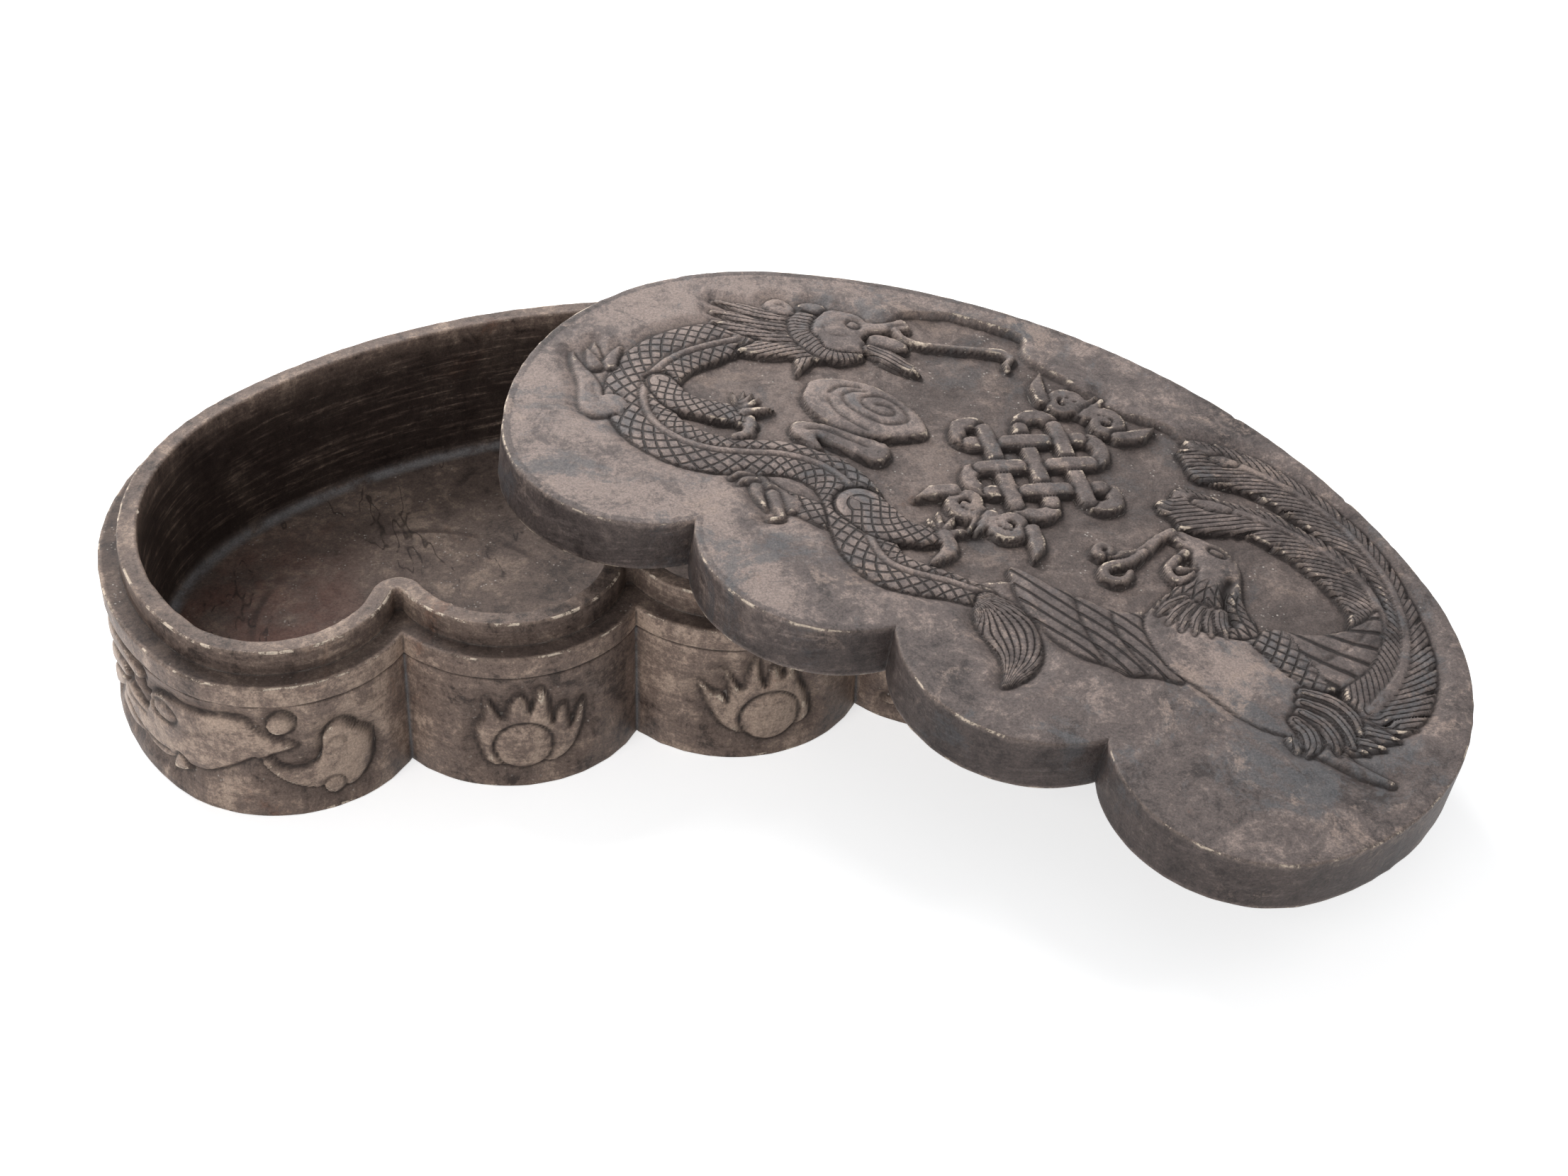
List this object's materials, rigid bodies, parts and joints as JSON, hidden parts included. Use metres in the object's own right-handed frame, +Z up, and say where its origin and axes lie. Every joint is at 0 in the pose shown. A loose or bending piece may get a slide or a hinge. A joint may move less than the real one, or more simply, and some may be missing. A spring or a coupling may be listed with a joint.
{
  "type": "ink stick and stone box",
  "caption": "Half-moon stone box for an ink stick and ink stone, with a scalloped front, a hollow inside a raised lip, and a thick carved lid lying askew on it.",
  "frame": {"origin": "middle of the box's flat underside, halfway along its length and its depth", "axes": "+Z up; +X along the length; -Y towards the scalloped front"},
  "size_m": [0.29, 0.2283, 0.066],
  "materials": {
    "base_stone": "dark brown-black carved stone, satin, with pale chipped edges and dust in the recesses",
    "lid_stone": "dark grey-brown stone carved in sunk relief, satin, mottled with rust-brown patches"
  },
  "bodies": {
    "base": {"box_base": "base_stone"},
    "lid": {"box_lid": "lid_stone"}
  },
  "joints": [
    {"name": "lid_lift", "type": "slide", "parent": "base", "child": "lid", "axis": [0, 0, 1], "range_m": [0, 0.06]}
  ]
}
